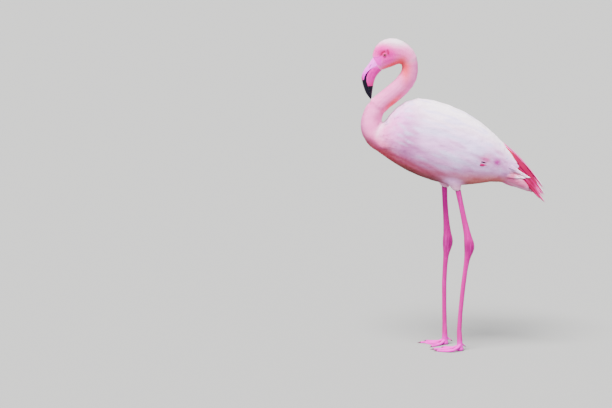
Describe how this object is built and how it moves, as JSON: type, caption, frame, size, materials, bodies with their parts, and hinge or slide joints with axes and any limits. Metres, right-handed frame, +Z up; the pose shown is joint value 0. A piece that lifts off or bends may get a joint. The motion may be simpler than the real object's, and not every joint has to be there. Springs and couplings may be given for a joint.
{
  "type": "standing greater flamingo",
  "caption": "Life-size still model of a pale pink wading bird standing on both long bare legs, its neck in an S, bent bill held down and wings folded.",
  "frame": {"origin": "on the floor, under the middle of the bird's box", "axes": "+Z up from the soles to the crown; the bill points to -X and the bird's left side faces -Y"},
  "size_m": [0.56, 0.1778, 0.944],
  "materials": {
    "pale_plumage": "soft overlapping feathers, white-pink above and warmer pink below",
    "rose_plumage": "long silky crimson plumes, paler at the tips",
    "bill_horn": "smooth horn, lilac-pink above, magenta below and black towards the tip",
    "eye": "wet and glossy, pale yellow iris with a dark pupil",
    "leg_skin": "bare scaled skin, hot pink with paler streaks",
    "claw": "dark horn"
  },
  "bodies": {
    "root": {"head": "pale_plumage", "neck_upper": "pale_plumage", "neck_middle": "pale_plumage", "neck_lower": "pale_plumage", "trunk": "pale_plumage", "thigh_left": "pale_plumage", "thigh_right": "pale_plumage", "wing_left": "pale_plumage", "wing_right": "pale_plumage", "tail": "pale_plumage", "plumes_left": "rose_plumage", "plumes_right": "rose_plumage", "bill_upper": "bill_horn", "bill_lower": "bill_horn", "eye_left": "eye", "eye_right": "eye", "shank_left": "leg_skin", "hock_left": "leg_skin", "tarsus_left": "leg_skin", "foot_left": "leg_skin", "claw_inner_left": "claw", "claw_middle_left": "claw", "claw_outer_left": "claw", "claw_hind_left": "claw", "shank_right": "leg_skin", "hock_right": "leg_skin", "tarsus_right": "leg_skin", "foot_right": "leg_skin", "claw_inner_right": "claw", "claw_middle_right": "claw", "claw_outer_right": "claw", "claw_hind_right": "claw"}
  },
  "joints": []
}
